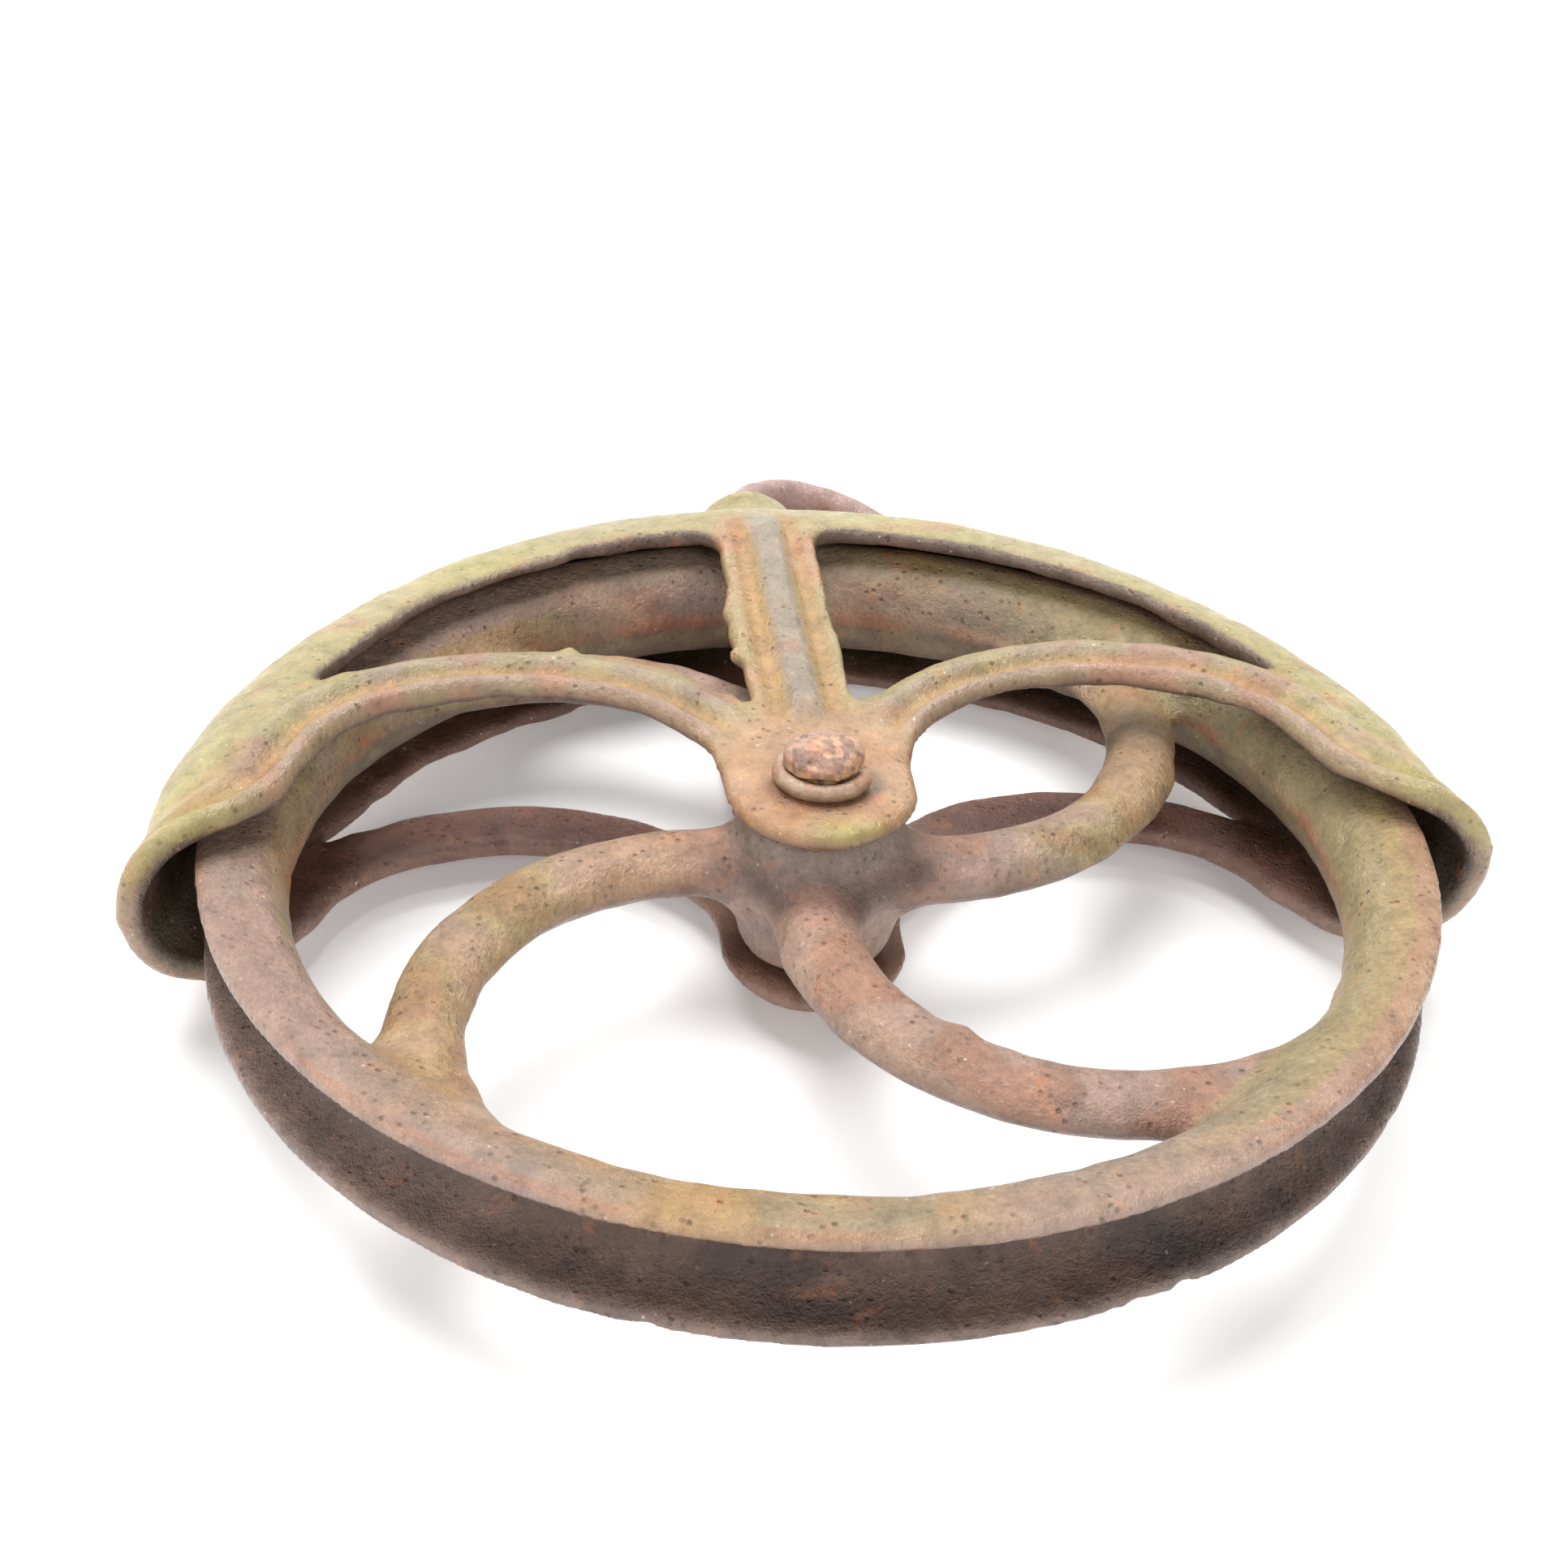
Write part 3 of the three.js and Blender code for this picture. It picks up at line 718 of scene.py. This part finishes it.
def sheave_paint(p, normals):
    x, y, z = p[:, 0], p[:, 1], p[:, 2] - SHEAVE_Z
    radius = np.hypot(x, y)
    wide, small = point_noise(p, 38, 41), point_noise(p, 10, 42)
    colour = plain(MAUVE, len(p))
    colour = over(colour, OCHRE, 0.16 + 0.3 * wide)
    # Spokes: olive towards the left and on the right, mauve in front, rust where they meet the hub.
    spokes = (radius > 20) * (radius < 112)
    colour = over(colour, OLIVE, spokes * (0.6 + 0.3 * small) * np.maximum(
        ramp(-38, -62, x), ramp(30, 60, x) * ramp(-22, -4, y)))
    colour = over(colour, TAN, 0.35 * spokes * ramp(0.1, 1.1, wide))
    upper = spokes * ramp(0.2, 0.9, normals[:, 2])
    colour = over(colour, hue(156, 106, 76), 0.55 * spokes * ramp(0.1, 1.1, small))
    # Faces of the spokes that look up are painted a paler pink in places: painted highlight.
    colour = over(colour, hue(186, 156, 140), 0.25 * upper * ramp(0.6, -0.8, small))
    colour = over(colour, ORANGE, 0.3 * spokes * ramp(34, 22, radius) * ramp(0.6, -0.6, small))
    # Rim: the upper face.
    top = ramp(0.3, 0.8, normals[:, 2]) * ramp(110, 116, radius)
    colour = over(colour, GREY, 0.5 * top * ramp(-1.0, 1.0, small))
    colour = over(colour, OLIVE, 0.35 * top * (0.4 + 0.6 * ramp(-0.6, 0.8, wide)) * ramp(-70, 0, x))
    colour = over(colour, hue(172, 120, 94), 0.45 * top * ramp(40, 100, x))
    colour = over(colour, MAUVE, 0.6 * top * ramp(-60, -110, x))
    colour = over(colour, ORANGE, 0.5 * top * ramp(123.6, 126.0, radius) * ramp(-0.8, 0.6, small))
    # The back of the rim: a crust of rust along its middle, olive below it.
    back = (radius < 116.5) * ramp(106, 108.5, radius)
    colour = over(colour, GREY, 0.6 * back * ramp(-20, 60, x))
    colour = over(colour, OLIVE, 0.75 * back * ramp(0, -3, z))
    colour = over(colour, OLIVE, 0.6 * (radius < 121) * (radius > 106) * ramp(40, 80, x))
    colour = over(colour, ORANGE, back * bump(z + 0.2, 2.0) * (0.55 + 0.3 * small))
    # The rope groove and the lower flange are painted dark: dark rust of their own, and painted shade in
    # the groove's hollow.
    groove = np.maximum((radius > 113) * (np.abs(z) < 9.6), (radius > 117) * ramp(-7, -9, z))
    colour = over(colour, BROWN, 0.92 * groove)
    colour = over(colour, DARK, groove * (0.2 + 0.25 * small))
    # The groove's left part is painted paler mauve: painted light, where it faces the light from the left.
    colour = over(colour, MAUVE * 0.8, 0.4 * groove * ramp(-50, -110, x) * (z < 9.0))
    # Faces that look down are painted brown: painted shade.
    underside = ramp(0.1, -0.5, normals[:, 2]) * (radius > 20)
    colour = over(colour, BROWN, 0.7 * underside)
    hub = ramp(24, 19, radius)
    colour = over(colour, GREY, 0.6 * hub * ramp(6, 11, z))
    # A band round the hub's front, a little above the rim's middle plane, is painted dark brown: dark
    # rust, and painted shade under the boss.
    hub_rust_and_shade = ramp(29, 22, radius) * bump(z - 4.0, 3.6) * ramp(4, -6, y)
    return over(colour, BROWN * 0.7, 0.8 * hub_rust_and_shade)


# ------------------------------------------------------------------ axle pin, rings, hook, washer

def turned_field(grid, corners, softness):
    """A body turned about the axle, from its section's corners."""
    radius = np.hypot(grid.x, grid.y) + 0 * grid.z
    mirrored = [(-r, h) for r, h in reversed(corners)]
    section = Section(corners + mirrored, (-4, corners[0][1] - 4), (14, corners[-1][1] + 4))
    return section(radius, grid.z + 0 * radius) - softness


def pin_field(grid):
    low, high = PIN_BOX[0][2], PIN_BOX[1][2]
    head, rod, foot = 8.4, 6.35, 6.4
    corners = [(0, low + 0.25), (foot - 0.4, low + 0.25), (head - 0.5, low + 2.5), (head - 0.3, low + 4.3),
               (rod - 0.2, low + 4.6), (rod - 0.2, high - 4.6), (head - 0.3, high - 4.3)]
    for a in np.radians(np.linspace(0, 85, 12)):
        corners.append((8.0 * math.cos(a) ** 0.8, high - 2.6 + 2.3 * math.sin(a)))
    corners.append((0, high - 0.28))
    field = turned_field(grid, corners, 0.1)
    field = field - 0.2 * noise(grid, 3.0, 51) - 0.13 * noise(grid, 1.2, 52)
    radius = np.hypot(grid.x, grid.y)
    field = np.maximum(field, radius - 8.38)
    field = np.maximum(field, low - grid.z)
    return np.maximum(field, grid.z - high)


def pin_paint(p, normals):
    small, wide, tiny = point_noise(p, 1.3, 53), point_noise(p, 5.0, 54), point_noise(p, 0.6, 55)
    colour = plain(hue(186, 142, 114), len(p))
    colour = over(colour, MAUVE, 0.6 * ramp(0.0, 1.2, wide))
    colour = over(colour, hue(204, 146, 94), 0.55 * ramp(0.2, 1.3, small + 0.5 * tiny))
    colour = over(colour, BROWN, 0.6 * ramp(-0.3, -1.5, small + 0.8 * wide))
    return over(colour, DARK, 0.45 * ramp(-0.9, -1.6, tiny))


def ring_field(centre_z, gap_angle):
    def field(grid):
        mean, wire, half_gap = 8.7, 1.82, math.radians(33)
        x, y, z = grid.x, grid.y, grid.z - centre_z
        bearing = np.arctan2(y, x) - gap_angle
        bearing = np.arctan2(np.sin(bearing), np.cos(bearing))
        clear = np.maximum(np.abs(bearing), half_gap)
        side = np.where(bearing < 0, -1, 1)
        cx, cy = mean * np.cos(gap_angle + side * clear), mean * np.sin(gap_angle + side * clear)
        tube = np.sqrt((x - cx) ** 2 + (y - cy) ** 2 + (z / 1.02) ** 2) - wire
        return tube - 0.06 * noise(grid, 2.2, 61) - 0.03 * noise(grid, 0.9, 62)
    return field


def ring_paint(p, normals):
    wide = point_noise(p, 4.0, 63)
    colour = plain(hue(156, 128, 104), len(p))
    colour = over(colour, ORANGE, 0.35 * ramp(0.2, 1.2, wide))
    # Faces that look down are painted browner: painted shade.
    return over(colour, BROWN, 0.6 * ramp(0.4, -0.6, normals[:, 2]))


def hook_line():
    """Points along the hook's bar and its radius at each, in the row frame."""
    bend, centre_y, swivel = 24.0, 167.0, math.radians(16)
    tip = math.radians(-42)
    flat = [(0, HOOK_BOX[0][1] + 2.2), (0, 146), (0, 157), (0, 162)]
    for a in np.linspace(math.pi, tip, 30):
        flat.append((bend * (1 + math.cos(a)), centre_y + bend * math.sin(a)))
    flat = np.array(flat)
    points = np.stack([
        flat[:, 0] * math.cos(swivel), flat[:, 1], FRAME_Z - flat[:, 0] * math.sin(swivel)
    ], axis=1)
    run = np.linspace(0, 1, len(points))
    radii = 4.56 - 0.5 * ramp(0.86, 1.0, run)
    return points, radii


def hook_field(grid):
    points, radii = hook_line()
    bar = bar_distance(grid.x, grid.y, grid.z, points, radii)
    across = np.hypot(grid.x, grid.z - FRAME_Z)
    low = HOOK_BOX[0][1]
    rivet = blend_common(across - 7.2, np.abs(grid.y - low - 1.3) - 1.15, 1.4)
    solid = blend_add(bar, rivet, 1.0)
    return solid - 0.2 * noise(grid, 7, 71) - 0.11 * noise(grid, 2.6, 72)


def hook_paint(p, normals):
    wide, small = point_noise(p, 14, 73), point_noise(p, 4, 74)
    colour = plain(hue(160, 128, 118), len(p))
    colour = over(colour, MAUVE, 0.5 * ramp(-0.2, 1.2, wide))
    colour = over(colour, ORANGE, 0.4 * ramp(0.3, 1.4, small))
    # Faces that look down are painted browner: painted shade.
    return over(colour, BROWN, 0.6 * ramp(0.3, -0.5, normals[:, 2]))


def washer_field(grid):
    across = np.hypot(grid.x, grid.z - FRAME_Z)
    middle = (WASHER_BOX[0][1] + WASHER_BOX[1][1]) / 2
    plate = blend_common(across - 9.2, np.abs(grid.y - middle) - 0.78, 0.5)
    return np.maximum(plate, 5.2 - across) - 0.06 * noise(grid, 3, 75)


def grid_about(box, margin, step):
    """Sample points over a box and a margin round it."""
    return Grid(box[0] - margin, box[1] + margin, step)


frame_iron = worn_iron("frame_iron", mottle=0.25, crust=0.6, dust=0.6, gloss=0.36, grain=0.7)
sheave_iron = worn_iron("sheave_iron", mottle=0.3, crust=0.75, dust=0.5, gloss=0.33, grain=0.9)
pin_iron = worn_iron("pin_steel", mottle=0.28, crust=0.8, dust=0.3, gloss=0.44, grain=0.55)
ring_iron = worn_iron("ring_steel", mottle=0.2, crust=0.4, dust=0.4, gloss=0.4, grain=0.4)
hook_iron = worn_iron("hook_steel", mottle=0.24, crust=0.6, dust=0.4, gloss=0.4, grain=0.55)

FINE = 0.35

hood_grid = Grid((-147, -24, FRAME_Z - 27.5), (147, CROWN_TOP + 2, FRAME_Z + 27.5), 1.18 * COARSE)
meshed("hooded_frame", hood_grid, frame_field(hood_grid), frame_paint,
       "frame", frame_iron, "hood_frame")

sheave_grid = Grid((-130, -130, SHEAVE_Z - 20), (130, 130, SHEAVE_Z + 18), 1.15 * COARSE)
meshed("grooved_wheel", sheave_grid, sheave_field(sheave_grid), sheave_paint,
       "sheave", sheave_iron, "sheave")

pin_grid = grid_about(PIN_BOX, 1.5, FINE)
meshed("riveted_axle", pin_grid, pin_field(pin_grid), pin_paint,
       "frame", pin_iron, "axle_pin")

for label, box, angle in (("upper", UPPER_RING_BOX, 4), ("lower", LOWER_RING_BOX, 200)):
    ring_grid = grid_about(box, 1.5, 0.75 * FINE)
    shape = ring_field((box[0][2] + box[1][2]) / 2, math.radians(angle))
    meshed(label + "_ring_wire", ring_grid, shape(ring_grid), ring_paint,
           "frame", ring_iron, label + "_split_ring")

hook_grid = grid_about(HOOK_BOX, 2.0, 1.5 * FINE)
meshed("hanging_hook", hook_grid, hook_field(hook_grid), hook_paint,
       "hook", hook_iron, "swivel_hook")

washer_grid = grid_about(WASHER_BOX, 1.2, 1.2 * FINE)
meshed("hook_washer", washer_grid, washer_field(washer_grid), ring_paint,
       "hook", ring_iron, "swivel_washer")


# ------------------------------------------------------------------ floor, light, camera

# The pulley rests on the edge of its axle's foot and on the back of the hood: (y, z) of each.
REST_LINE = (6.4, 0.0)
REST_FAR = (116.0, 7.2)
TILT = math.atan2(REST_FAR[1] - REST_LINE[1], REST_FAR[0] - REST_LINE[0])


def build_floor():
    """A large pale sheet under the pulley, at the slope on which the pulley rests."""
    n = Nodes("pale_floor")
    place = n.add("ShaderNodeTexCoord").outputs["Object"]
    cloud = n.noise(place, 3.0, 3)
    shade = n.band(cloud, 0.3, 0.7, 0.86, 0.88)
    paint = n.add("ShaderNodeCombineColor", {"Red": shade, "Green": shade, "Blue": shade})
    shader = n.add("ShaderNodeBsdfPrincipled", {
        "Base Color": paint.outputs["Color"], "Roughness": 0.6, "Specular IOR Level": 0.2,
        "Emission Color": (1, 0.99, 0.985, 1), "Emission Strength": 0.2,
    })
    output = n.add("ShaderNodeOutputMaterial")
    n.tree.links.new(shader.outputs["BSDF"], output.inputs["Surface"])
    steps = 24
    reach = 6.0
    line = np.linspace(-reach, reach, steps + 1)
    slope = math.tan(TILT)
    corners = [(u, v, (v - REST_LINE[0] * MM) * slope) for v in line for u in line]
    faces = []
    for i in range(steps):
        for j in range(steps):
            a = i * (steps + 1) + j
            faces.append((a, a + 1, a + steps + 2, a + steps + 1))
    mesh = bpy.data.meshes.new("floor")
    mesh.from_pydata(corners, [], faces)
    mesh.materials.append(n.material)
    floor = bpy.data.objects.new("floor", mesh)
    bpy.context.scene.collection.objects.link(floor)


def area_light(name, place, target, size, power):
    """A rectangular lamp that looks at a target."""
    data = bpy.data.lights.new(name, "AREA")
    data.shape = "RECTANGLE"
    data.size, data.size_y = size
    data.energy = power
    lamp = bpy.data.objects.new(name, data)
    lamp.location = place
    aim = Vector(target) - Vector(place)
    lamp.rotation_euler = aim.to_track_quat("-Z", "Y").to_euler()
    bpy.context.scene.collection.objects.link(lamp)


def build_light():
    """A soft sun from behind and to the left, three small lamps, and a pale studio round them."""
    world = bpy.data.worlds.new("studio")
    world.use_nodes = True
    tree = world.node_tree
    sky = tree.nodes.new("ShaderNodeTexCoord")
    split = tree.nodes.new("ShaderNodeSeparateXYZ")
    fade = tree.nodes.new("ShaderNodeMapRange")
    # White near the horizon, where a low view sees past the floor, and dimmer overhead.
    for socket, value in (("From Min", 0.2), ("From Max", 0.34), ("To Min", 1.0), ("To Max", 0.2)):
        fade.inputs[socket].default_value = value
    tree.links.new(sky.outputs["Generated"], split.inputs["Vector"])
    tree.links.new(split.outputs["Z"], fade.inputs["Value"])
    tree.links.new(fade.outputs["Result"], tree.nodes["Background"].inputs["Strength"])
    tree.nodes["Background"].inputs["Color"].default_value = (1, 1, 1, 1)
    bpy.context.scene.world = world
    data = bpy.data.lights.new("overhead", "SUN")
    data.energy = 4.2
    data.angle = math.radians(46)
    lamp = bpy.data.objects.new("overhead", data)
    lamp.rotation_euler = (math.radians(-14), math.radians(-8), 0)
    bpy.context.scene.collection.objects.link(lamp)
    area_light("left", (-1.3, -0.3, 0.9), (0, 0, 0), (0.9, 0.9), 7)
    area_light("back", (0.35, 1.5, 1.05), (0, 0, 0.03), (0.35, 0.35), 8)
    area_light("front", (0.5, -1.6, 1.0), (0, 0, 0.03), (0.8, 0.8), 13)


def build_camera():
    """The camera, placed about the middle of the sheave in units of the rim's radius."""
    elevation, roll, distance = 0.563606, -0.0476442, 3.9798796
    aside, above = 0.0618437, -0.1320728
    turn = math.radians(7.8)
    unit = float(RIM_RADIUS) * MM
    right = Vector((math.cos(turn), -math.sin(turn), 0))
    back = Vector((
        -math.cos(elevation) * math.sin(turn), -math.cos(elevation) * math.cos(turn), math.sin(elevation),
    ))
    up = back.cross(right)
    place = Vector((0, 0, SHEAVE_Z * MM)) + unit * (-aside * right - above * up + distance * back)
    cam_x = math.cos(roll) * right - math.sin(roll) * up
    cam_y = math.sin(roll) * right + math.cos(roll) * up
    pose = Matrix((
        (cam_x.x, cam_y.x, back.x, place.x),
        (cam_x.y, cam_y.y, back.y, place.y),
        (cam_x.z, cam_y.z, back.z, place.z),
        (0, 0, 0, 1),
    ))
    data = bpy.data.cameras.new("camera")
    data.sensor_width = 36
    data.lens = 55.33
    data.clip_start = 0.01
    data.clip_end = 50
    camera = bpy.data.objects.new("camera", data)
    camera.matrix_world = pose
    bpy.context.scene.collection.objects.link(camera)
    bpy.context.scene.camera = camera


build_floor()
build_light()
build_camera()
bpy.context.scene.view_settings.view_transform = "Standard"
